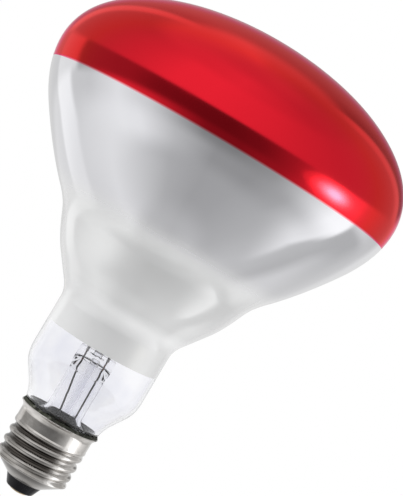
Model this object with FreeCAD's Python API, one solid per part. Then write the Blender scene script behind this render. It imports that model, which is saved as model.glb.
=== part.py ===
import FreeCAD, Part
import math
import os

from FreeCAD import Vector

os.makedirs("parts", exist_ok=True)

# Infrared reflector lamp. Lengths in millimetres, angles in degrees.
# The lamp's axis is Z, the end contact rests at height 0 and the dome is on top.

# Centre contact, its solder and the black glass insulator
solder_height = 0.4
solder_radius = 2.2
solder_flat_radius = 1.5
solder_swell = 0.15
contact_thickness = 0.5
contact_radius = 3.4
contact_edge_width = 0.3
contact_edge_height = 0.2
contact_sleeve_wall = 0.3
contact_sleeve_length = 1.5
insulator_length = 3.6
insulator_tip_radius = 4.7
insulator_tip_round = 0.5
insulator_bore_radius = 0.9
insulator_plug_height = 3.0
insulator_funnel_radius = 3.2
insulator_funnel_depth = 2.4

# Screw shell, a rolled metal sheet with a round thread
shell_wall = 0.35
shell_mouth_radius = 6.4
shell_taper_length = 4.4
thread_length = 12.6
thread_pitch = 3.629
thread_major_radius = 13.025
thread_minor_radius = 11.98
thread_fade_length = 2.0
thread_crest_height = 1.3
collar_radius = 12.9
collar_length = 6.2
collar_step_length = 0.6
rim_flare = 1.3
rim_flare_height = 2.4
rim_flare_lean = 48.0

# Blown glass envelope, from the neck inside the cap up to the face
glass_wall = 1.1
neck_inset = 1.8
neck_clearance = 0.7
neck_end_length = 0.8
neck_foot_flare = 1.9
neck_foot_rise = 2.9
neck_foot_lean = 12.0
neck_swell_flare = 2.25
neck_swell_rise = 5.0
neck_cone_lean = 33.0
neck_cone_rise = 4.0
neck_radius = 20.4
neck_turn_rise = 6.9
neck_length = 17.1
skirt_root_radius = 22.5
skirt_root_rise = 5.4
skirt_lean = 36.7
skirt_cone_rise = 7.3
waist_radius = 34.2
waist_lean = 23.7
waist_rise = 11.7
reflector_low_radius = 38.6
reflector_low_rise = 6.3
reflector_focal_length = 18.7
reflector_rise = 20.5
bulb_radius = 62.5
shoulder_rise = 20.8
dome_rise = 34.0
dome_fullness = 2.1
dome_steps = (0.45, 0.76, 0.93)

# Glass stem: flare, tube and the press that holds the wires
flare_bead_depth = 1.1
flare_bead_inset = 1.1
flare_foot_rise = 0.8
flare_foot_lean = -66.0
flare_height = 5.6
tube_radius = 6.3
tube_wall = 1.1
tube_length = 12.8
press_half_width = 6.6
press_half_thickness = 2.1
press_squeeze_length = 4.4
press_height = 4.0
press_top_round = 0.7
press_cavity_half_width = 4.6

# Exhaust tube, sealed off inside the cap
exhaust_radius = 1.5
exhaust_bore_radius = 0.9
exhaust_offset = 0.4
exhaust_tip_height = 12.0
exhaust_tip_length = 3.0
exhaust_grip = 1.4
exhaust_hole_radius = 1.1
exhaust_hole_rise = 0.2

# Glass rod with the button that carries the filament supports
rod_radius = 1.6
rod_grip = 1.2
button_radius = 2.7
button_height = 4.4
button_drop = 3.8

# Wires
lead_spacing = 3.8
outer_lead_radius = 0.3
outer_lead_bend = 4.0
outer_lead_straight = 1.0
centre_lead_turn_rise = 4.0
side_lead_bend = 0.8
seal_wire_radius = 0.3
seal_wire_length = 4.0
inner_lead_radius = 0.5
inner_lead_bend = 4.0
support_count = 5
support_radius = 0.25
support_reach = 5.5
support_bend = 2.0
hook_clearance = 0.05

# Filament, a tungsten coil bent into an open ring at the reflector's focus
filament_ring_radius = 15.0
filament_coil_radius = 0.65
filament_gap_angle = 44.0
lead_hook_angle = 3.0

# Side connection and basing cement
side_lead_angle = 70.0
side_solder_radius = 1.3
side_solder_lift = 0.2
side_lead_turn_drop = 1.2
side_lead_rim_gap = 0.67
side_lead_rim_lift = 0.27
side_lead_end_reach = 0.15
side_lead_end_lift = 0.45
cement_inset = 0.4
cement_rise = 0.9
cement_lip = 0.3
cement_bore_radius = 6.0

# Heights that the pieces share
contact_top = solder_height + contact_thickness
shell_bottom = contact_top + insulator_length
thread_bottom = shell_bottom + shell_taper_length
thread_top = thread_bottom + thread_length
rim_height = thread_top + collar_length
seal_height = rim_height - neck_inset
neck_end_top = seal_height + neck_end_length
neck_foot_height = neck_end_top + neck_foot_rise
neck_swell_height = neck_foot_height + neck_swell_rise
neck_cone_height = neck_swell_height + neck_cone_rise
neck_bottom = neck_cone_height + neck_turn_rise
neck_top = neck_bottom + neck_length
skirt_root_height = neck_top + skirt_root_rise
skirt_cone_height = skirt_root_height + skirt_cone_rise
waist_height = skirt_cone_height + waist_rise
reflector_low_height = waist_height + reflector_low_rise
reflector_vertex = reflector_low_height - reflector_low_radius**2 / (4 * reflector_focal_length)
reflector_high_height = reflector_low_height + reflector_rise
widest_height = reflector_high_height + shoulder_rise
bulb_top = widest_height + dome_rise
filament_height = reflector_vertex + reflector_focal_length

# Sizes that follow from a neighbour
collar_inner_radius = collar_radius - shell_wall
rim_radius = collar_radius + rim_flare
rim_flare_bottom = rim_height - rim_flare_height
neck_end_radius = collar_inner_radius - neck_clearance
neck_foot_radius = neck_end_radius + neck_foot_flare
neck_swell_radius = neck_foot_radius + neck_swell_flare
neck_cone_radius = neck_swell_radius + neck_cone_rise * math.tan(math.radians(neck_cone_lean))
thread_depth = thread_major_radius - thread_minor_radius
neck_bore_radius = neck_end_radius - glass_wall
skirt_cone_radius = skirt_root_radius + skirt_cone_rise * math.tan(math.radians(skirt_lean))
tube_bore_radius = tube_radius - tube_wall
tube_bottom = seal_height + flare_height
tube_top = tube_bottom + tube_length
press_bottom = tube_top + press_squeeze_length
press_top = press_bottom + press_height
seal_wire_bottom = press_bottom - 0.3 * press_height
seal_wire_top = seal_wire_bottom + seal_wire_length
exhaust_top = press_bottom + exhaust_grip
rod_bottom = press_top - rod_grip
button_middle = filament_height - button_drop - button_height / 2
cement_bottom = thread_top + collar_step_length + cement_inset
cement_top = rim_height + cement_rise
hook_radius = filament_coil_radius + hook_clearance + support_radius
lead_hook_radius = filament_coil_radius + hook_clearance + inner_lead_radius
side_lead_distance = (neck_end_radius + collar_inner_radius) / 2
side_lead_rim_distance = rim_radius - side_lead_rim_gap


def save(name, shape):
    # Writes one piece, as one closed solid, to its own file.
    solid = shape.Solids[0]
    assert len(shape.Solids) == 1 and solid.isValid(), name
    solid.exportStep("parts/" + name + ".step")


def revolve(edges):
    # Turns a closed outline in the XZ plane once about the lamp's axis.
    face = Part.Face(Part.Wire(Part.__sortEdges__(edges)))
    return face.revolve(Vector(0, 0, 0), Vector(0, 0, 1), 360)


def line(start, end):
    # A straight edge between two (radius, height) places.
    return Part.makeLine(Vector(start[0], 0, start[1]), Vector(end[0], 0, end[1]))


def ring(radius, height):
    return Part.makeCircle(radius, Vector(0, 0, height))


def outline(places):
    # A closed outline of straight edges.
    return [line(a, b) for a, b in zip(places, places[1:] + places[:1])]


def bulge(start, middle, end):
    # A round edge through three (radius, height) places.
    return Part.Arc(*(Vector(r, 0, z) for r, z in (start, middle, end))).toShape()


def moved_in(station, wall):
    # The place under an outer station, one wall thickness in along its normal.
    radius, height, lean = station
    lean = math.radians(lean)
    return (radius - wall * math.cos(lean), height + wall * math.sin(lean))


def leg(start, end, wall=0.0):
    # A curve from one station (radius, height, lean) to the next, as round as its turn allows.
    low, high = moved_in(start, wall), moved_in(end, wall)
    chord = math.dist(low, high)
    low_lean, high_lean = math.radians(start[2]), math.radians(end[2])
    if start[2] == end[2] and abs(math.atan2(high[0] - low[0], high[1] - low[1]) - low_lean) < 1e-6:
        return line(low, high)
    handle = chord / (3 * math.cos((high_lean - low_lean) / 4) ** 2)
    poles = [
        low,
        (low[0] + handle * math.sin(low_lean), low[1] + handle * math.cos(low_lean)),
        (high[0] - handle * math.sin(high_lean), high[1] - handle * math.cos(high_lean)),
        high,
    ]
    curve = Part.BezierCurve()
    curve.setPoles([Vector(r, 0, z) for r, z in poles])
    return curve.toShape()


def legs(stations, wall=0.0):
    return [leg(a, b, wall) for a, b in zip(stations, stations[1:])]


def reflector_station(height):
    # On the paraboloid whose focus is the filament.
    radius = math.sqrt(4 * reflector_focal_length * (height - reflector_vertex))
    return (radius, height, math.degrees(math.atan2(2 * reflector_focal_length, radius)))


def dome_station(share):
    # On the face, a superellipse between the widest ring and the top.
    radius = share * bulb_radius
    rise = dome_rise * (1 - share**dome_fullness) ** (1 / dome_fullness)
    inward = (rise / dome_rise) ** (dome_fullness - 1) / dome_rise
    upward = share ** (dome_fullness - 1) / bulb_radius
    return (radius, widest_height + rise, -math.degrees(math.atan2(inward, upward)))


def envelope_stations():
    return [
        (neck_end_radius, seal_height, 0.0),
        (neck_end_radius, neck_end_top, 0.0),
        (neck_foot_radius, neck_foot_height, neck_foot_lean),
        (neck_swell_radius, neck_swell_height, neck_cone_lean),
        (neck_cone_radius, neck_cone_height, neck_cone_lean),
        (neck_radius, neck_bottom, 0.0),
        (neck_radius, neck_top, 0.0),
        (skirt_root_radius, skirt_root_height, skirt_lean),
        (skirt_cone_radius, skirt_cone_height, skirt_lean),
        (waist_radius, waist_height, waist_lean),
        reflector_station(reflector_low_height),
        reflector_station(reflector_low_height + reflector_rise / 2),
        reflector_station(reflector_high_height),
        (bulb_radius, widest_height, 0.0),
        *[dome_station(share) for share in reversed(dome_steps)],
        (0.0, bulb_top, -90.0),
    ]


def glass_envelope():
    stations = envelope_stations()
    top = line(moved_in(stations[-1], 0), moved_in(stations[-1], glass_wall))
    end = line(moved_in(stations[0], 0), moved_in(stations[0], glass_wall))
    return revolve(legs(stations) + [top] + legs(stations, glass_wall) + [end])


def flare_legs(wall):
    # The trumpet that widens from the stem tube to the neck's bore.
    foot = (neck_bore_radius, seal_height + flare_foot_rise, flare_foot_lean)
    return leg(foot, (tube_radius, tube_bottom, 0.0), wall)


def flare_underside():
    # The trumpet's hollow side and the bead that is melted to the end of the neck.
    foot = (neck_bore_radius, seal_height + flare_foot_rise, flare_foot_lean)
    inner_foot = moved_in(foot, tube_wall)
    bead_inner = (neck_bore_radius - flare_bead_inset, seal_height)
    bead_bottom = ((bead_inner[0] + neck_end_radius) / 2, seal_height - flare_bead_depth)
    bead_outer = (neck_end_radius, seal_height)
    return [
        flare_legs(tube_wall),
        line(inner_foot, bead_inner),
        bulge(bead_inner, bead_bottom, bead_outer),
    ]


def oval(half_width, half_thickness, power, height):
    # A closed cross-section that goes from a circle, power 2, to a rounded slab.
    if half_width == half_thickness:
        return Part.Wire(ring(half_width, height))
    points = []
    for step in range(24):
        angle = math.radians(15 * step)
        cosine, sine = math.cos(angle), math.sin(angle)
        size = (abs(cosine) ** power + abs(sine) ** power) ** (-1 / power)
        points.append(Vector(half_width * size * cosine, half_thickness * size * sine, height))
    curve = Part.BSplineCurve()
    curve.interpolate(points, PeriodicFlag=True)
    return Part.Wire(curve.toShape())


def press_body():
    # The tube's end, squeezed flat around the wires.
    squeeze = press_squeeze_length
    width, thickness = press_half_width, press_half_thickness
    sections = [
        oval(tube_radius, tube_radius, 2.0, tube_top),
        oval(tube_radius, 0.9 * tube_radius, 2.1, tube_top + 0.3 * squeeze),
        oval(width, 0.5 * (tube_radius + thickness), 2.5, tube_top + 0.7 * squeeze),
        oval(width, thickness, 4.0, press_bottom),
        oval(width, thickness, 4.0, press_top - press_top_round),
        oval(width - press_top_round, thickness - press_top_round, 3.5, press_top),
    ]
    cavity = [
        oval(tube_bore_radius, tube_bore_radius, 2.0, tube_top),
        oval(tube_bore_radius, 0.8 * tube_bore_radius, 2.1, tube_top + 0.3 * squeeze),
        oval(press_cavity_half_width, 0.4 * tube_bore_radius, 2.2, tube_top + 0.7 * squeeze),
        oval(press_cavity_half_width, exhaust_bore_radius, 2.2, tube_top + 0.9 * squeeze),
    ]
    return Part.makeLoft(sections, True).cut(Part.makeLoft(cavity, True))


def upright(radius, x, bottom, top):
    return Part.makeCylinder(radius, top - bottom, Vector(x, 0, bottom))


def stem_flare():
    section = flare_underside() + [
        line((neck_end_radius, seal_height), (neck_bore_radius, seal_height)),
        line((neck_bore_radius, seal_height), (neck_bore_radius, seal_height + flare_foot_rise)),
        flare_legs(0.0),
        line((tube_radius, tube_bottom), (tube_radius, tube_top)),
        line((tube_radius, tube_top), (tube_bore_radius, tube_top)),
        line((tube_bore_radius, tube_top), (tube_bore_radius, tube_bottom)),
    ]
    stem = revolve(section).fuse(press_body())
    hole_height = exhaust_top + exhaust_hole_rise
    for x in (-lead_spacing, lead_spacing):
        stem = stem.cut(upright(seal_wire_radius, x, seal_wire_bottom, seal_wire_top))
        stem = stem.cut(upright(inner_lead_radius, x, seal_wire_top, press_top + press_height))
    stem = stem.cut(upright(rod_radius, 0, rod_bottom, press_top + press_height))
    stem = stem.cut(upright(exhaust_radius, exhaust_offset, tube_top, exhaust_top))
    stem = stem.cut(upright(exhaust_bore_radius, exhaust_offset, exhaust_top, hole_height))
    mouth = Vector(exhaust_offset, -2 * press_half_thickness, hole_height)
    hole = Part.makeCylinder(exhaust_hole_radius, 2 * press_half_thickness, mouth, Vector(0, 1, 0))
    return stem.cut(hole)


def exhaust_tube():
    shoulder = exhaust_tip_height + exhaust_tip_length
    places = [
        (0.0, exhaust_tip_height),
        (exhaust_bore_radius, exhaust_tip_height + 0.3 * exhaust_tip_length),
        (exhaust_radius, shoulder),
        (exhaust_radius, exhaust_top),
        (exhaust_bore_radius, exhaust_top),
        (exhaust_bore_radius, shoulder),
        (0.0, exhaust_tip_height + 0.5 * exhaust_tip_length),
    ]
    return revolve(outline(places)).translated(Vector(exhaust_offset, 0, 0))


def stem_rod():
    # A drawn rod whose end is melted into a button.
    button = Part.makeSphere(button_radius)
    squash = FreeCAD.Matrix()
    squash.scale(1, 1, button_height / (2 * button_radius))
    button = button.transformGeometry(squash).translated(Vector(0, 0, button_middle))
    rod = upright(rod_radius, 0, rod_bottom, button_middle)
    return rod.fuse(button).removeSplitter()


def bent_wire(points, bend, radius):
    # A round wire along straight runs joined by tangent arcs.
    points = [Vector(*point) for point in points]
    edges = []
    start = points[0]
    for before, corner, after in zip(points, points[1:], points[2:]):
        into = (corner - before).normalize()
        out = (after - corner).normalize()
        half_turn = into.getAngle(out) / 2
        shorter = min(corner.distanceToPoint(before), corner.distanceToPoint(after))
        setback = min(bend * math.tan(half_turn), 0.45 * shorter)
        inside = (out - into).normalize() * setback * math.tan(half_turn / 2)
        arc = Part.Arc(corner - into * setback, corner + inside, corner + out * setback)
        edges.append(Part.makeLine(start, corner - into * setback))
        edges.append(arc.toShape())
        start = corner + out * setback
    edges.append(Part.makeLine(start, points[-1]))
    section = Part.Wire(Part.makeCircle(radius, points[0], points[1] - points[0]))
    return Part.Wire(edges).makePipeShell([section], True, True)


def polar(radius, angle, height):
    angle = math.radians(angle)
    return (radius * math.cos(angle), radius * math.sin(angle), height)


def hook(angle, ring_radius, wire_radius):
    # The eye at the end of a wire, closed round the filament.
    centre = Vector(*polar(filament_ring_radius, angle, filament_height))
    along = Vector(*polar(1, angle + 90, 0))
    return Part.makeTorus(ring_radius, wire_radius, centre, along)


def outer_lead_centre():
    # From the press, past the exhaust tube, down to the centre contact.
    points = [
        (-lead_spacing, 0, seal_wire_bottom),
        (-lead_spacing, 0, tube_top + outer_lead_straight),
        (-0.28 * tube_bore_radius, -0.47 * tube_bore_radius, tube_bottom),
        (-0.28 * tube_bore_radius, -0.47 * tube_bore_radius, exhaust_tip_height + centre_lead_turn_rise),
        (0, 0, shell_bottom + insulator_plug_height),
        (0, 0, solder_height + 0.1),
    ]
    return bent_wire(points, outer_lead_bend, outer_lead_radius)


def outer_lead_side():
    # From the press, under the seal, up between the neck and the collar and over the rim.
    run_height = cement_bottom - cement_inset - 2 * outer_lead_radius
    points = [
        (lead_spacing, 0, seal_wire_bottom),
        (lead_spacing, 0, tube_top + outer_lead_straight),
        (0.78 * tube_bore_radius, 0, tube_bottom),
        (0.78 * tube_bore_radius, 0, run_height),
        polar(side_lead_distance, side_lead_angle, run_height),
        polar(side_lead_distance, side_lead_angle, rim_height - side_lead_turn_drop),
        polar(side_lead_rim_distance, side_lead_angle, rim_height + side_lead_rim_lift),
        polar(rim_radius + side_lead_end_reach, side_lead_angle, rim_height + side_lead_end_lift),
    ]
    return bent_wire(points, side_lead_bend, outer_lead_radius)


def inner_lead(side):
    # From the press up to one end of the filament.
    angle = -90 + side * (filament_gap_angle / 2 + lead_hook_angle)
    points = [
        (side * lead_spacing, 0, seal_wire_top),
        (side * lead_spacing, 0, (press_top + button_middle) / 2),
        polar(filament_ring_radius, angle, filament_height - 2.5 * lead_hook_radius),
        polar(filament_ring_radius, angle, filament_height - lead_hook_radius),
    ]
    wire = bent_wire(points, inner_lead_bend, inner_lead_radius)
    return wire.fuse(hook(angle, lead_hook_radius, inner_lead_radius))


def filament_support(angle):
    # From the button out and up to its hook on the filament.
    points = [
        polar(0.5 * button_radius, angle, button_middle),
        polar(support_reach, angle, button_middle),
        polar(filament_ring_radius, angle, filament_height - hook_radius),
    ]
    wire = bent_wire(points, support_bend, support_radius)
    return wire.fuse(hook(angle, hook_radius, support_radius))


def support_angles():
    # Evenly spaced round the filament, clear of its two ends.
    step = (360 - filament_gap_angle) / (support_count + 1)
    first = -90 + filament_gap_angle / 2
    return [first + step * (number + 1) for number in range(support_count)]


def filament():
    # The coil's outer form, an open ring.
    start = Vector(*polar(filament_ring_radius, -90 + filament_gap_angle / 2, filament_height))
    along = Vector(*polar(1, filament_gap_angle / 2, 0))
    section = Part.Face(Part.Wire(Part.makeCircle(filament_coil_radius, start, along)))
    return section.revolve(Vector(0, 0, 0), Vector(0, 0, 1), 360 - filament_gap_angle)


def thread_radius(angle, height):
    # Equal round crests and roots that fade into the plain sheet at both ends.
    turns = (height - thread_bottom - thread_crest_height) / thread_pitch - (angle - 180) / 360
    offset = abs(turns - round(turns)) * thread_pitch
    quarter = thread_pitch / 4
    curve = (quarter**2 + (thread_depth / 2) ** 2) / thread_depth
    if offset <= quarter:
        drop = curve - math.sqrt(curve**2 - offset**2)
    else:
        drop = thread_depth - curve + math.sqrt(curve**2 - (2 * quarter - offset) ** 2)
    ends = min(height - thread_bottom, thread_top - height)
    share = min(max(ends / thread_fade_length, 0.0), 1.0)
    return thread_major_radius - drop * share * share * (3 - 2 * share)


def thread_face(wall):
    # The rolled thread as one smooth surface, at the outside or one wall in.
    columns, rows = 24, 8 * max(4, round(thread_length / thread_pitch)) + 12
    grid = []
    for row in range(rows + 1):
        height = thread_bottom + thread_length * row / rows
        ring = []
        for column in range(columns + 1):
            angle = 360 * (column % columns) / columns
            winding = angle + 360 * (column // columns)
            ring.append(Vector(*polar(thread_radius(winding, height) - wall, angle, height)))
        grid.append(ring)
    surface = Part.BSplineSurface()
    surface.interpolate(grid)
    return surface.toShape()


def turned_faces(edges):
    # The skin that an open chain of edges sweeps once about the axis.
    return [face for edge in edges for face in edge.revolve(Vector(0, 0, 0), Vector(0, 0, 1), 360).Faces]


def rings(face):
    # The closed edges at the bottom and the top of a thread's surface.
    closed = [edge for edge in face.Edges if edge.isClosed()]
    return sorted(closed, key=lambda edge: edge.BoundBox.ZMin)


def rim_stations():
    # Where the collar begins to flare and where its sheet ends, highest at the inner corner.
    edge_height = rim_height - shell_wall * math.sin(math.radians(rim_flare_lean))
    return (collar_radius, rim_flare_bottom, 0.0), (rim_radius, edge_height, rim_flare_lean)


def cap_shell():
    step_top = thread_top + collar_step_length
    mouth_top = shell_bottom + shell_wall
    flare_start, flare_end = rim_stations()
    faces = turned_faces(
        [
            line((shell_mouth_radius, mouth_top), (shell_mouth_radius, shell_bottom)),
            line((collar_radius, step_top), (collar_radius, rim_flare_bottom)),
            leg(flare_start, flare_end),
            line(moved_in(flare_end, 0), moved_in(flare_end, shell_wall)),
            leg(flare_start, flare_end, shell_wall),
            line((collar_inner_radius, rim_flare_bottom), (collar_inner_radius, step_top)),
        ]
    )
    for wall, mouth_height in ((0.0, shell_bottom), (shell_wall, mouth_top)):
        thread = thread_face(wall)
        bottom, top = rings(thread)
        faces.append(thread)
        faces.append(Part.makeRuledSurface(ring(shell_mouth_radius, mouth_height), bottom))
        faces.append(Part.makeRuledSurface(top, ring(collar_radius - wall, step_top)))
    skin = Part.makeCompound(faces)
    skin.sewShape(1e-4)
    return Part.Solid(skin.Shells[0])


def cap_insulator():
    # Black glass moulded into the shell's mouth.
    inner_thread = thread_major_radius - shell_wall
    mouth_top = shell_bottom + shell_wall
    plug_top = mouth_top + insulator_plug_height
    slope = (inner_thread - shell_mouth_radius) / (thread_bottom - mouth_top)
    plug_radius = shell_mouth_radius + slope * insulator_plug_height
    rounded = insulator_tip_radius - insulator_tip_round
    corner = insulator_tip_round * (1 - math.sqrt(0.5))
    lean = (shell_mouth_radius - insulator_tip_radius) / insulator_length
    shoulder = (insulator_tip_radius + lean * insulator_tip_round, contact_top + insulator_tip_round)
    bottom = (rounded, contact_top)
    middle = (insulator_tip_radius + lean * corner - corner, contact_top + corner)
    return revolve(
        [
            line((insulator_bore_radius, contact_top), bottom),
            bulge(bottom, middle, shoulder),
            line(shoulder, (shell_mouth_radius, shell_bottom)),
            line((shell_mouth_radius, shell_bottom), (shell_mouth_radius, mouth_top)),
            line((shell_mouth_radius, mouth_top), (plug_radius, plug_top)),
            line((plug_radius, plug_top), (insulator_funnel_radius, plug_top)),
            line(
                (insulator_funnel_radius, plug_top),
                (insulator_bore_radius, plug_top - insulator_funnel_depth),
            ),
            line(
                (insulator_bore_radius, plug_top - insulator_funnel_depth),
                (insulator_bore_radius, contact_top),
            ),
        ]
    )


def centre_contact():
    # A stamped eyelet whose sleeve holds in the insulator's bore.
    sleeve_bore = insulator_bore_radius - contact_sleeve_wall
    places = [
        (sleeve_bore, solder_height),
        (contact_radius - contact_edge_width, solder_height),
        (contact_radius, solder_height + contact_edge_height),
        (contact_radius, contact_top),
        (insulator_bore_radius, contact_top),
        (insulator_bore_radius, contact_top + contact_sleeve_length),
        (sleeve_bore, contact_top + contact_sleeve_length),
    ]
    return revolve(outline(places))


def centre_solder():
    # A drop with a flat worn end, which fills the eyelet round the wire.
    sleeve_bore = insulator_bore_radius - contact_sleeve_wall
    plug_top = contact_top + 0.5 * contact_sleeve_length
    rim = (solder_radius, solder_height)
    side = (solder_radius - solder_swell, 0.45 * solder_height)
    drop = revolve(
        [
            line((0, 0), (solder_flat_radius, 0)),
            bulge((solder_flat_radius, 0), side, rim),
            line(rim, (sleeve_bore, solder_height)),
            line((sleeve_bore, solder_height), (sleeve_bore, plug_top)),
            line((sleeve_bore, plug_top), (0, plug_top)),
            line((0, plug_top), (0, 0)),
        ]
    )
    return drop.cut(outer_lead_centre())


def basing_cement():
    # Between the collar and the neck, up to a lip on the glass, and up under the flare.
    glass = flare_underside() + legs(envelope_stations()[:4]) + [
        line((neck_swell_radius, neck_swell_height), (0, neck_swell_height)),
        line((0, neck_swell_height), (0, tube_bottom)),
        line((0, tube_bottom), (tube_bore_radius, tube_bottom)),
    ]
    flare_start, flare_end = rim_stations()
    rim_place = moved_in(flare_end, shell_wall)
    lip_place = (neck_foot_radius - cement_lip, cement_top)
    body = [
        line((cement_bore_radius, cement_bottom), (collar_inner_radius, cement_bottom)),
        line((collar_inner_radius, cement_bottom), (collar_inner_radius, rim_flare_bottom)),
        leg(flare_start, flare_end, shell_wall),
        line(rim_place, lip_place),
        line(lip_place, (cement_bore_radius, cement_top)),
        line((cement_bore_radius, cement_top), (cement_bore_radius, cement_bottom)),
    ]
    return revolve(body).cut(revolve(glass)).cut(outer_lead_side())


def side_solder(neighbours):
    # A blob that joins the wire to the rim at the back of the cap.
    middle = polar(rim_radius, side_lead_angle, rim_height + side_solder_lift)
    blob = Part.makeSphere(side_solder_radius, Vector(*middle))
    for neighbour in neighbours:
        blob = blob.cut(neighbour)
    return max(blob.Solids, key=lambda solid: solid.Volume)


envelope = glass_envelope()
shell = cap_shell()
cement = basing_cement()
side_wire = outer_lead_side()
rod = stem_rod()
supports = [filament_support(angle) for angle in support_angles()]
for support in supports:
    rod = rod.cut(support)

save("glass_envelope", envelope)
save("stem_flare", stem_flare())
save("exhaust_tube", exhaust_tube())
save("stem_rod", rod)
save("outer_lead_centre", outer_lead_centre())
save("outer_lead_side", side_wire)
for side, name in ((-1, "centre"), (1, "side")):
    seal_wire = upright(seal_wire_radius, side * lead_spacing, seal_wire_bottom, seal_wire_top)
    save("seal_wire_" + name, seal_wire)
    save("inner_lead_" + name, inner_lead(side))
save("filament", filament())
for number, support in enumerate(supports, 1):
    save("filament_support_" + str(number), support)
save("cap_shell", shell)
save("cap_insulator", cap_insulator())
save("centre_contact", centre_contact())
save("centre_solder", centre_solder())
save("side_solder", side_solder([shell, envelope, cement, side_wire]))
save("basing_cement", cement)
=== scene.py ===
import math

import bpy
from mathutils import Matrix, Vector


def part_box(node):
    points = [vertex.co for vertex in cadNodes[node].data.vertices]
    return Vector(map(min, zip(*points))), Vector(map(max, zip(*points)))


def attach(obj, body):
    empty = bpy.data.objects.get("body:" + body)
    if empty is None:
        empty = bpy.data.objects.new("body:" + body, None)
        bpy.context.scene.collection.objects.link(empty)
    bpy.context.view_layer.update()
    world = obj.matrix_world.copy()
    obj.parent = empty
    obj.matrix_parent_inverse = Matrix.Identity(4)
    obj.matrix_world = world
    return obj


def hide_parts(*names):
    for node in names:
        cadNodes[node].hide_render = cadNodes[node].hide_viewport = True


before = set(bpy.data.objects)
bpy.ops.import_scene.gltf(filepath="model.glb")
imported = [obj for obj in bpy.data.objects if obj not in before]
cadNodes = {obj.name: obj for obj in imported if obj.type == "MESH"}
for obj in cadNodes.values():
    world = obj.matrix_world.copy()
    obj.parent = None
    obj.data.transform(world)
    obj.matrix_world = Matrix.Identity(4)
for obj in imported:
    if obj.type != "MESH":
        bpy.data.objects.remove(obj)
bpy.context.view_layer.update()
mm = 0.001
glassBend = 1.5  # refraction of soft glass


# Short helpers for building shaders. A value may be a number, a colour or another node's socket.

def feed(tree, socket, value):
    if isinstance(value, bpy.types.NodeSocket):
        tree.links.new(value, socket)
    else:
        socket.default_value = value


def newMaterial(name, **fixed):
    material = bpy.data.materials.new(name)
    material.use_nodes = True
    shader = material.node_tree.nodes["Principled BSDF"]
    for socketName, value in fixed.items():
        shader.inputs[socketName.replace("_", " ")].default_value = value
    return material, material.node_tree, shader.inputs


def addMath(tree, operation, first, second=0.0):
    node = tree.nodes.new("ShaderNodeMath")
    node.operation = operation
    feed(tree, node.inputs[0], first)
    feed(tree, node.inputs[1], second)
    return node.outputs[0]


def addRange(tree, value, start, end, low=0.0, high=1.0):  # smooth step between two values
    node = tree.nodes.new("ShaderNodeMapRange")
    node.interpolation_type = "SMOOTHSTEP"
    for socket, number in zip(node.inputs, (value, start, end, low, high)):
        feed(tree, socket, number)
    return node.outputs[0]


def addMix(tree, amount, first, second, blend="MIX"):
    node = tree.nodes.new("ShaderNodeMix")
    node.data_type = "RGBA"
    node.blend_type = blend
    feed(tree, node.inputs["Factor"], amount)
    feed(tree, node.inputs[6], first)
    feed(tree, node.inputs[7], second)
    return node.outputs[2]


def addRamp(tree, value, stops):
    node = tree.nodes.new("ShaderNodeValToRGB")
    elements = node.color_ramp.elements
    while len(elements) < len(stops):
        elements.new(1.0)
    for element, (position, colour) in zip(elements, stops):
        element.position = position
        element.color = (*colour, 1.0) if len(colour) == 3 else colour
    feed(tree, node.inputs[0], value)
    return node.outputs[0]


def addPlace(tree, scale=(1.0, 1.0, 1.0)):  # the point on the object, in metres, stretched
    place = tree.nodes.new("ShaderNodeTexCoord")
    mapping = tree.nodes.new("ShaderNodeMapping")
    mapping.inputs["Scale"].default_value = scale
    tree.links.new(place.outputs["Object"], mapping.inputs["Vector"])
    return mapping.outputs[0]


def addAlong(tree, axis):  # how far the point lies along X, Y or Z
    node = tree.nodes.new("ShaderNodeSeparateXYZ")
    tree.links.new(addPlace(tree), node.inputs[0])
    return node.outputs[axis]


def addLength(tree, vector):
    node = tree.nodes.new("ShaderNodeVectorMath")
    node.operation = "LENGTH"
    tree.links.new(vector, node.inputs[0])
    return node.outputs["Value"]


def addNoise(tree, place, scale, detail=4.0, roughness=0.5):
    node = tree.nodes.new("ShaderNodeTexNoise")
    node.inputs["Scale"].default_value = scale
    node.inputs["Detail"].default_value = detail
    node.inputs["Roughness"].default_value = roughness
    tree.links.new(place, node.inputs["Vector"])
    return node.outputs["Fac"]


def addBump(tree, height, strength, distance):
    node = tree.nodes.new("ShaderNodeBump")
    node.inputs["Strength"].default_value = strength
    node.inputs["Distance"].default_value = distance
    tree.links.new(height, node.inputs["Height"])
    return node.outputs[0]


def clearSelection():
    bpy.ops.object.select_all(action="DESELECT")
    bpy.context.view_layer.objects.active = None


# The envelope: one blown bulb, spun from its profile and given its wall.

glass = {
    "wall": 1.1 * mm,
    "neckEnd": 11.85 * mm,  # radius where the neck is cut off inside the cap
    "neckEndTop": 26.7 * mm,
    "foot": (13.75 * mm, 29.6 * mm, 12.0),  # radius, height, lean in degrees
    "neckCone": ((16.0 * mm, 34.6 * mm, 33.0), (18.598 * mm, 38.6 * mm, 33.0)),
    "neck": (20.4 * mm, 45.5 * mm, 62.6 * mm),  # radius, lowest and highest point of the cylinder
    "skirtRoot": (22.5 * mm, 68.0 * mm, 36.7),
    "skirtCone": (27.941 * mm, 75.3 * mm, 36.7),
    "waist": (34.2 * mm, 87.0 * mm, 23.7),
    "reflectorHeights": (93.3 * mm, 103.55 * mm, 113.8 * mm),
    "focalLength": 18.7 * mm,
    "vertex": 73.381 * mm,
    "widest": 134.6 * mm,
    "domeShares": (0.93, 0.76, 0.45),
    "domeFullness": 2.1,
    "pointsPerLeg": 11,
    "spinSteps": 176,
    "sharpAngle": math.radians(50),
    "seam": 128.0 * mm,  # the red starts here
    "coatEnd": 54.9 * mm,  # the mirror ends here and the neck is clear below
    "neckTint": (0.895, 0.90, 0.94, 1),
}


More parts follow.
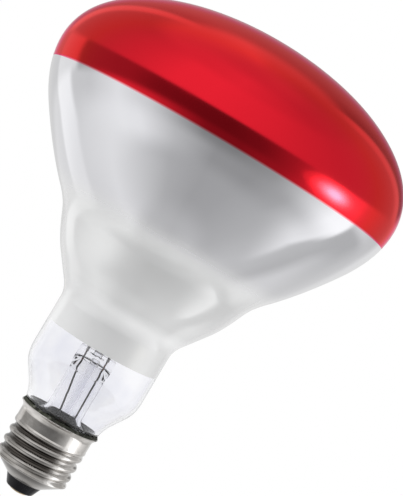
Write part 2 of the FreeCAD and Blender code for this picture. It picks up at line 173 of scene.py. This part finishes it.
def reflectorStation(height):
    radius = math.sqrt(4 * glass["focalLength"] * (height - glass["vertex"]))
    return (radius, height, math.degrees(math.atan2(2 * glass["focalLength"], radius)))


def domeStation(share, radius, rise):
    power = glass["domeFullness"]
    drop = (1 - share**power) ** (1 / power)
    lean = math.atan2(drop ** (power - 1) / rise, share ** (power - 1) / radius)
    return (share * radius, glass["widest"] + rise * drop, -math.degrees(lean))


def envelopeStations():
    low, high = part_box("glass_envelope")
    radius, rise = high.x, high.z - glass["widest"]
    return [
        (glass["neckEnd"], low.z, 0.0),
        (glass["neckEnd"], glass["neckEndTop"], 0.0),
        glass["foot"],
        *glass["neckCone"],
        (glass["neck"][0], glass["neck"][1], 0.0),
        (glass["neck"][0], glass["neck"][2], 0.0),
        glass["skirtRoot"],
        glass["skirtCone"],
        glass["waist"],
        *[reflectorStation(height) for height in glass["reflectorHeights"]],
        (radius, glass["widest"], 0.0),
        *[domeStation(share, radius, rise) for share in glass["domeShares"]],
        (0.0, high.z, -90.0),
    ]


def drawProfile(stations, pointsPerLeg):
    clearSelection()
    bpy.ops.curve.primitive_bezier_curve_add(location=(0, 0, 0))
    curve = bpy.context.object
    curve.data.resolution_u = pointsPerLeg
    spline = curve.data.splines[0]
    spline.bezier_points.add(len(stations) - 2)
    for point, (radius, height, _) in zip(spline.bezier_points, stations):
        point.handle_left_type = point.handle_right_type = "FREE"
        point.co = point.handle_left = point.handle_right = (radius, 0, height)
    legs = zip(stations, stations[1:], spline.bezier_points, spline.bezier_points[1:])
    for start, end, first, second in legs:
        turn = math.radians(end[2] - start[2])
        handle = math.dist(start[:2], end[:2]) / (3 * math.cos(turn / 4) ** 2)
        for point, lean, sign in ((first, start[2], 1), (second, end[2], -1)):
            lean = math.radians(lean)
            way = Vector((math.sin(lean), 0, math.cos(lean))) * handle * sign
            if sign > 0:
                point.handle_right = point.co + way
            else:
                point.handle_left = point.co + way
    bpy.ops.object.convert(target="MESH")
    return bpy.context.object


ruby = {
    "colours": ((0.71, 0.0005, 0.012, 1), (0.79, 0.001, 0.019, 1)),
    "edge": (0.85, 0.42, 0.48, 1),  # paler where the red thins out at the seam
    "edgeWidth": 0.7 * mm,
    "slant": (1.0, 0.03, 0.25, 1),  # tint of the gloss towards the outline
    "roughness": (0.09, 0.14),
    "coat": 0.35,
    "coatRoughness": 0.14,
    "cloudScale": 28.0,
    "smearScale": 90.0,
}


def rubyGlass():
    material, tree, inputs = newMaterial(
        "rubyGlass",
        Metallic=1.0,
        Specular_Tint=ruby["slant"],
        Coat_Weight=ruby["coat"],
        Coat_Roughness=ruby["coatRoughness"],
        Coat_IOR=glassBend,
    )
    cloud = addNoise(tree, addPlace(tree), ruby["cloudScale"], 3.0)
    colour = addMix(tree, cloud, *ruby["colours"])
    edgeEnd = glass["seam"] + ruby["edgeWidth"]
    edge = addRange(tree, addAlong(tree, "Z"), glass["seam"], edgeEnd, 1.0, 0.0)
    feed(tree, inputs["Base Color"], addMix(tree, edge, colour, ruby["edge"]))
    smear = addNoise(tree, addPlace(tree), ruby["smearScale"], 6.0, 0.6)
    feed(tree, inputs["Roughness"], addRange(tree, smear, 0.3, 0.7, *ruby["roughness"]))
    return material


mirror = {
    "bright": ((0.70, 0.70, 0.735, 1), (0.745, 0.745, 0.765, 1)),
    "frosted": ((0.72, 0.725, 0.73, 1), (0.78, 0.78, 0.78, 1)),
    "frost": (101.0 * mm, 92.0 * mm),  # the mirror gets frosted from the first height to the second
    "frostWave": 3 * mm,  # how uneven that change is
    "neck": (72 * mm, 67 * mm),  # and more so from here down
    "roughness": (0.06, 0.10),
    "frostRoughness": 0.03,  # added to it
    "neckRoughness": 0.06,
    "frostMetal": 0.56,
    "neckMetal": -0.44,  # added to that in the neck
    "coat": 0.5,
    "coatRoughness": 0.03,
    "cloudScale": 22.0,
    "smearScale": 70.0,
    "smearStretch": (1.0, 1.0, 0.35),
}


def mirrorCoat():
    material, tree, inputs = newMaterial(
        "mirrorCoat",
        Coat_Weight=mirror["coat"],
        Coat_Roughness=mirror["coatRoughness"],
        Coat_IOR=glassBend,
    )
    height = addAlong(tree, "Z")
    cloud = addNoise(tree, addPlace(tree), mirror["cloudScale"], 3.0)
    wave = addMath(tree, "MULTIPLY", addMath(tree, "SUBTRACT", cloud, 0.5), mirror["frostWave"])
    frost = addRange(tree, addMath(tree, "ADD", height, wave), *mirror["frost"])
    neck = addRange(tree, height, *mirror["neck"])
    bright = addMix(tree, cloud, *mirror["bright"])
    frosted = addMix(tree, cloud, *mirror["frosted"])
    feed(tree, inputs["Base Color"], addMix(tree, frost, bright, frosted))

    smear = addNoise(tree, addPlace(tree, mirror["smearStretch"]), mirror["smearScale"], 5.0, 0.6)
    roughness = addRange(tree, smear, 0.3, 0.7, *mirror["roughness"])
    for zone, more in ((frost, mirror["frostRoughness"]), (neck, mirror["neckRoughness"])):
        roughness = addMath(tree, "ADD", roughness, addMath(tree, "MULTIPLY", zone, more))
    feed(tree, inputs["Roughness"], roughness)

    metal = addRange(tree, frost, 0.0, 1.0, 1.0, mirror["frostMetal"])
    neckMetal = addMath(tree, "MULTIPLY", neck, mirror["neckMetal"])
    feed(tree, inputs["Metallic"], addMath(tree, "ADD", metal, neckMetal))
    return material


def clearGlass(name, tint, bend):
    material, tree, inputs = newMaterial(name, Transmission_Weight=1.0, IOR=bend)
    film = addNoise(tree, addPlace(tree), 60.0, 4.0)
    thin = addRange(tree, film, 0.36, 0.64)
    feed(tree, inputs["Base Color"], addMix(tree, thin, tint, (0.97, 0.97, 0.985, 1)))
    feed(tree, inputs["Roughness"], addRange(tree, film, 0.35, 0.75, 0.0, 0.03))
    return material


def cloudyFinish(name, scale, colours, roughness, **fixed):  # for the inner face of the bulb
    material, tree, inputs = newMaterial(name, **fixed)
    cloud = addNoise(tree, addPlace(tree), scale, 3.0)
    feed(tree, inputs["Base Color"], addMix(tree, cloud, *colours))
    feed(tree, inputs["Roughness"], addRange(tree, cloud, 0.3, 0.7, *roughness))
    return material


def mirrorInside():
    colours = ((0.86, 0.86, 0.87, 1), (0.92, 0.92, 0.92, 1))
    return cloudyFinish("mirrorInside", 40.0, colours, (0.12, 0.2), Metallic=1.0)


def rubyInside():
    colours = ((0.55, 0.005, 0.02, 1), (0.68, 0.01, 0.03, 1))
    return cloudyFinish("rubyInside", 35.0, colours, (0.25, 0.4))


def makeEnvelope():
    envelope = drawProfile(envelopeStations(), glass["pointsPerLeg"])
    envelope.name = "lampGlass"
    bpy.ops.object.mode_set(mode="EDIT")
    bpy.ops.mesh.select_all(action="SELECT")
    bpy.ops.mesh.spin(
        steps=glass["spinSteps"], angle=math.tau, center=(0, 0, 0), axis=(0, 0, 1)
    )
    bpy.ops.mesh.select_all(action="SELECT")
    bpy.ops.mesh.remove_doubles(threshold=0.01 * mm)
    for height in (glass["coatEnd"], glass["seam"]):
        bpy.ops.mesh.select_all(action="SELECT")
        bpy.ops.mesh.bisect(plane_co=(0, 0, height), plane_no=(0, 0, 1))
    bpy.ops.mesh.select_all(action="SELECT")
    bpy.ops.mesh.normals_make_consistent(inside=False)
    bpy.ops.object.mode_set(mode="OBJECT")

    neckGlass = clearGlass("neckGlass", glass["neckTint"], glassBend)
    outside = (rubyGlass(), mirrorCoat(), neckGlass)
    inside = (rubyInside(), mirrorInside(), neckGlass)
    envelope.data.materials.clear()
    for material in outside + inside:
        envelope.data.materials.append(material)
    for face in envelope.data.polygons:
        above = sum(face.center.z > height for height in (glass["coatEnd"], glass["seam"]))
        face.material_index = 2 - above

    wall = envelope.modifiers.new("wall", "SOLIDIFY")
    wall.thickness = glass["wall"]
    wall.offset = -1
    wall.use_even_offset = True
    wall.material_offset = len(outside)
    bpy.ops.object.modifier_apply(modifier=wall.name)
    bpy.ops.object.shade_smooth_by_angle(angle=glass["sharpAngle"])
    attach(envelope, "root")
    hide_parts("glass_envelope")
    print("envelope", len(envelope.data.polygons), "faces")


makeEnvelope()


# Finishes of the pieces that keep their shape: stem, wires, cap, contact, solder and cement.

def wireMetal(name, bright, dark, roughness, rim=1.0):
    material, tree, inputs = newMaterial(name, Metallic=1.0, Specular_Tint=(rim, rim, rim, 1))
    stain = addNoise(tree, addPlace(tree), 700.0, 5.0, 0.6)
    feed(tree, inputs["Base Color"], addMix(tree, addRange(tree, stain, 0.35, 0.65), dark, bright))
    feed(tree, inputs["Roughness"], addRange(tree, stain, 0.3, 0.7, roughness, roughness + 0.2))
    return material


cap = {
    "colours": ((0.69, 0.665, 0.64, 1), (0.50, 0.475, 0.445, 1)),
    # painted shade: a dark colour laid into the thread grooves
    "rootShade": (0.08, 0.072, 0.065, 1),
    "roots": (13.0 * mm, 12.1 * mm),  # painted shade in the thread grooves sets in between these distances from the axis
    "bottom": (5.5 * mm, 8.0 * mm),  # and is less below the thread
    "leastRootShade": 0.25,
    "top": (22.0 * mm, 20.6 * mm),  # none above it
    # painted shade that darkens the shell below the collar
    "worn": (0.05, 0.045, 0.04, 1),
    "mostThreadShade": 0.36,
    "litSide": (4.0 * mm, 10.5 * mm),  # both painted shades are less on this side, which is painted as the lit side
    "litSideShade": 0.15,
    "roughness": (0.10, 0.17),
    "bump": (0.05, 0.05 * mm),
}


def nickelCap():
    material, tree, inputs = newMaterial("nickelCap", Metallic=1.0)
    height = addAlong(tree, "Z")
    # painted light: the painted shades thin out towards the right, the side the lamps light
    sideShade = addRange(tree, addAlong(tree, "X"), *cap["litSide"], 1.0, cap["litSideShade"])
    # painted shade in the thread grooves: less below the thread, none on the collar, less on the
    # lit side
    rootShade = addRange(tree, addLength(tree, addPlace(tree, (1.0, 1.0, 0.0))), *cap["roots"])
    low = addRange(tree, height, *cap["bottom"], cap["leastRootShade"], 1.0)
    for share in (low, addRange(tree, height, *cap["top"]), sideShade):
        rootShade = addMath(tree, "MULTIPLY", rootShade, share)
    # painted shade over the shell below the collar, up to this share, less on the lit side
    worn = addRange(tree, height, *cap["top"], 0.0, cap["mostThreadShade"])

    blotch = addNoise(tree, addPlace(tree), 160.0, 5.0, 0.6)
    colour = addMix(tree, addRange(tree, blotch, 0.36, 0.70), *cap["colours"])
    colour = addMix(tree, addMath(tree, "MULTIPLY", worn, sideShade), colour, cap["worn"])
    feed(tree, inputs["Base Color"], addMix(tree, rootShade, colour, cap["rootShade"]))

    spun = addNoise(tree, addPlace(tree, (0.03, 0.03, 1.0)), 2600.0, 4.0, 0.6)  # rings from rolling
    feed(tree, inputs["Roughness"], addRange(tree, spun, 0.3, 0.7, *cap["roughness"]))
    feed(tree, inputs["Normal"], addBump(tree, spun, *cap["bump"]))
    return material


def blackGlass():
    material, tree, inputs = newMaterial(
        "blackGlass", Specular_IOR_Level=0.12, Coat_Weight=0.04
    )
    swirl = addNoise(tree, addPlace(tree), 260.0, 6.0, 0.6)
    colour = addMix(tree, swirl, (0.002, 0.002, 0.003, 1), (0.010, 0.010, 0.012, 1))
    feed(tree, inputs["Base Color"], colour)
    feed(tree, inputs["Roughness"], addRange(tree, swirl, 0.3, 0.7, 0.08, 0.2))
    return material


cement = {
    "grains": (
        (0.40, (0.006, 0.006, 0.004)),
        (0.54, (0.034, 0.036, 0.024)),
        (0.72, (0.26, 0.26, 0.23)),
    ),
    "roughness": (0.7, 0.95),
    "bump": (0.6, 0.3 * mm),
}


def basingCement():
    material, tree, inputs = newMaterial("cement")
    grain = addNoise(tree, addPlace(tree), 420.0, 8.0, 0.75)
    feed(tree, inputs["Base Color"], addRamp(tree, grain, cement["grains"]))
    feed(tree, inputs["Roughness"], addRange(tree, grain, 0.3, 0.7, *cement["roughness"]))
    feed(tree, inputs["Normal"], addBump(tree, grain, *cement["bump"]))
    return material


def solderMetal():
    material, tree, inputs = newMaterial("solder", Metallic=1.0)
    frost = addNoise(tree, addPlace(tree), 1100.0, 5.0, 0.6)
    colour = addMix(tree, frost, (0.42, 0.42, 0.43, 1), (0.72, 0.72, 0.70, 1))
    feed(tree, inputs["Base Color"], colour)
    feed(tree, inputs["Roughness"], addRange(tree, frost, 0.3, 0.7, 0.25, 0.5))
    feed(tree, inputs["Normal"], addBump(tree, frost, 0.3, 0.1 * mm))
    return material


def finishNode(name, material):
    slots = cadNodes[name].material_slots
    if not slots:
        cadNodes[name].data.materials.append(material)
    for slot in slots:
        slot.material = material


copper = wireMetal("copperWire", (0.030, 0.021, 0.016, 1), (0.008, 0.007, 0.006, 1), 0.35, 0.05)
sealRed = wireMetal("sealWire", (0.16, 0.055, 0.03, 1), (0.05, 0.02, 0.014, 1), 0.3)
nickel = wireMetal("nickelWire", (0.62, 0.60, 0.56, 1), (0.30, 0.29, 0.28, 1), 0.22)
molybdenum = wireMetal("supportWire", (0.50, 0.50, 0.52, 1), (0.25, 0.25, 0.27, 1), 0.25)
tungsten = wireMetal("tungsten", (0.40, 0.40, 0.42, 1), (0.18, 0.18, 0.20, 1), 0.3)
brass = wireMetal("contactBrass", (0.78, 0.60, 0.30, 1), (0.48, 0.34, 0.16, 1), 0.25)
stemGlass = clearGlass("stemGlass", (0.97, 0.97, 0.98, 1), 1.36)
finishes = {
    "stem_flare": stemGlass,
    "exhaust_tube": stemGlass,
    "stem_rod": stemGlass,
    "outer_lead_centre": copper,
    "outer_lead_side": copper,
    "seal_wire_centre": sealRed,
    "seal_wire_side": sealRed,
    "inner_lead_centre": nickel,
    "inner_lead_side": nickel,
    "filament": tungsten,
    "cap_shell": nickelCap(),
    "cap_insulator": blackGlass(),
    "centre_contact": brass,
    "centre_solder": solderMetal(),
    "side_solder": solderMetal(),
    "basing_cement": basingCement(),
}
for nodeName in cadNodes:
    if nodeName.startswith("filament_support"):
        finishes[nodeName] = molybdenum
for nodeName, material in finishes.items():
    finishNode(nodeName, material)
print("finishes on", len(finishes), "nodes")


# The studio's light by direction from the lamp, with soft boxes and dark gaps between them.
# Each zone gives the elevations over which it takes over from the one below, then its brightness
# on the way round, in degrees: -180 is behind the lamp, -90 left, 0 the camera's side, 90 right.

studio = {
    "floor": 0.66,
    "zones": (
        (-90, -82, (
            (-180, 0.70), (-90, 0.66), (0, 0.60), (60, 0.66), (110, 0.68), (180, 0.70),
        )),
        (-79, -69, (
            (-180, 0.75), (-120, 0.82), (-93, 0.96), (-67, 0.78), (-35, 0.55), (0, 0.46),
            (30, 0.48), (72, 0.57), (98, 0.68), (125, 0.68), (180, 0.75),
        )),
        (-58, -42, (
            (-180, 0.88), (-142, 0.88), (-139, 0.98), (-123, 0.98), (-120, 0.86),
            (-75, 1.06), (-58, 1.04), (-30, 0.64), (0, 0.38), (30, 0.38), (58, 0.50),
            (74, 0.70), (88, 0.95), (100, 1.08), (104, 0.66), (117, 0.59), (127, 0.82),
            (180, 0.88),
        )),
        (-38, -21, (
            (-180, 0.86), (-141, 0.86), (-139, 1.12), (-123, 1.12), (-119, 0.75),
            (-100, 0.75), (-75, 1.00), (-50, 0.80), (-28, 0.44), (-12, 0.25), (10, 0.24),
            (40, 0.39), (57, 0.64), (72, 0.92), (88, 1.26), (104, 1.32), (107, 0.57),
            (125, 0.56), (140, 0.68), (180, 0.84),
        )),
        (-16, -9, (
            (-180, 0.72), (-141, 0.72), (-139, 0.92), (-117, 0.92), (-112, 0.42),
            (-68, 0.36), (-48, 0.23), (-26, 0.18), (0, 0.16), (22, 0.21), (44, 0.42),
            (54, 0.58), (66, 1.05), (78, 1.30), (101, 1.30), (106, 1.02), (122, 0.80),
            (133, 0.70), (142, 0.68), (152, 0.85), (180, 0.72),
        )),
        (5, 10, (
            (-180, 0.50), (-165, 0.58), (-152, 0.52), (-148, 0.95), (-142, 0.95),
            (-138, 0.60), (-98, 0.66), (-68, 0.84), (-43, 1.05), (-20, 1.05), (23, 0.90),
            (46, 0.78), (72, 0.69), (138, 0.62), (142, 0.80), (148, 0.80), (152, 0.28),
            (165, 0.42), (180, 0.50),
        )),
        (45, 58, (
            (-180, 0.78), (-168, 0.98), (-150, 0.92), (-100, 0.84), (-10, 0.96), (60, 0.66),
            (133, 0.58), (150, 0.62), (165, 0.70), (180, 0.78),
        )),
        (66, 86, ((0, 0.77),)),
    ),
    "brightest": 1.5,  # the level that a full ramp stands for
    # Each lamp: way round, distance, height, tilt, width, tallness, brightness.
    "gleams": {  # tint and lamps that show in the gloss of one piece, and light nothing else
        "lampGlass": ((1.0, 0.95, 0.72), (
            (69, 0.34, 0.112, 0, 0.066, 0.036, 34.0),
            (69, 0.34, 0.112, 0, 0.110, 0.058, 17.0),
            (69, 0.34, 0.112, 0, 0.154, 0.080, 7.0),
            (69, 0.34, 0.112, 0, 0.210, 0.104, 1.5),
            (69, 0.34, 0.112, 0, 0.290, 0.130, 0.35),
        )),
        "cap_shell": ((0.94, 0.97, 1.0), (
            (80, 0.30, 0.015, 0, 0.11, 0.60, 0.8),
            (75, 0.30, 0.015, 0, 0.21, 0.70, 0.4),
        )),
    },
    "fill": (  # light the frosted glass, and show in no gloss
        (52, 0.18, -0.33, 67, 0.24, 0.24, 7.5),
        (-72, 0.321, 0.441, -50, 0.26, 0.26, 15.0),
    ),
}


def buildStudio():
    world = bpy.data.worlds.new("studio")
    bpy.context.scene.world = world
    world.use_nodes = True
    tree = world.node_tree
    background = tree.nodes["Background"]
    place = tree.nodes.new("ShaderNodeTexCoord")
    parts = tree.nodes.new("ShaderNodeSeparateXYZ")
    tree.links.new(place.outputs["Generated"], parts.inputs[0])
    forward = addMath(tree, "MULTIPLY", parts.outputs[1], -1.0)
    turn = addMath(tree, "ARCTAN2", parts.outputs[0], forward)
    lift = addMath(tree, "ARCSINE", parts.outputs[2])
    azimuth = addMath(tree, "MULTIPLY", turn, math.degrees(1))
    elevation = addMath(tree, "MULTIPLY", lift, math.degrees(1))
    share = addMath(tree, "DIVIDE", addMath(tree, "ADD", azimuth, 180.0), 360.0)

    def grey(level):
        return (level / studio["brightest"],) * 3 + (1,)

    light = grey(studio["floor"])
    for start, end, stops in studio["zones"]:
        if len(stops) > 1:
            places = [((way + 180) / 360, grey(level)) for way, level in stops]
            level = addRamp(tree, share, places)
        else:
            level = grey(stops[0][1])
        light = addMix(tree, addRange(tree, elevation, start, end), light, level)
    stretched = addMix(tree, 1.0, light, (studio["brightest"],) * 3 + (1,), "MULTIPLY")
    rays = tree.nodes.new("ShaderNodeLightPath").outputs
    seen = addMath(tree, "MAXIMUM", rays["Is Camera Ray"], rays["Is Transmission Ray"])
    feed(tree, background.inputs["Color"], addMix(tree, seen, stretched, (1, 1, 1, 1)))


def hangLamp(way, distance, height, tilt, width, tallness, brightness):
    turn = math.radians(way)
    clearSelection()
    bpy.ops.object.light_add(
        type="AREA",
        location=(distance * math.sin(turn), -distance * math.cos(turn), height),
        rotation=(math.radians(90 + tilt), 0, turn),
    )
    lamp = bpy.context.object
    lamp.data.shape = "ELLIPSE"
    lamp.data.size, lamp.data.size_y = width, tallness
    area = math.pi * width * tallness / 4
    lamp.data.energy = brightness * math.pi * area
    lamp.visible_camera = lamp.visible_transmission = False
    return lamp


def hangLamps():
    for pieceName, (tint, lamps) in studio["gleams"].items():
        litPiece = bpy.data.collections.new(pieceName + "Gleam")
        litPiece.objects.link(cadNodes.get(pieceName) or bpy.data.objects[pieceName])
        for lampSize in lamps:
            lamp = hangLamp(*lampSize)
            lamp.data.color = tint
            lamp.visible_diffuse = False
            lamp.light_linking.receiver_collection = litPiece
    for lampSize in studio["fill"]:
        hangLamp(*lampSize).visible_glossy = False


buildStudio()
hangLamps()
print("studio light is set")


# A pale floor well below the lamp, which hangs free. Its rim fades out, so that no edge shows.

floor = {
    "height": -0.40,
    "radius": 1.3,
    "fade": 0.55,  # it starts to fade at this radius
    "sides": 96,
    "colour": (0.86, 0.86, 0.86, 1),
    "roughness": 0.8,
}


def makeFloor():
    clearSelection()
    bpy.ops.mesh.primitive_circle_add(
        vertices=floor["sides"],
        radius=floor["radius"],
        fill_type="NGON",
        location=(0, 0, floor["height"]),
    )
    plate = bpy.context.object
    plate.name = "floorPlate"
    material, tree, inputs = newMaterial(
        "paleFloor", Base_Color=floor["colour"], Roughness=floor["roughness"]
    )
    reach = addLength(tree, addPlace(tree))
    feed(tree, inputs["Alpha"], addRange(tree, reach, floor["fade"], floor["radius"], 1.0, 0.0))
    plate.data.materials.append(material)
    plate.visible_glossy = False


makeFloor()


# The camera looks level at the lamp and is rolled, so that the lamp leans as in the picture.

view = {"distance": 0.450, "side": 0.0113, "height": 0.099, "lens": 100.0, "roll": -30.6}

bpy.ops.object.camera_add(
    location=(view["side"], -view["distance"], view["height"]),
    rotation=(math.radians(90), math.radians(view["roll"]), 0),
)
camera = bpy.context.object
camera.data.lens = view["lens"]
bpy.context.scene.camera = camera
bpy.context.scene.view_settings.view_transform = "Standard"
print("floor and camera are set")
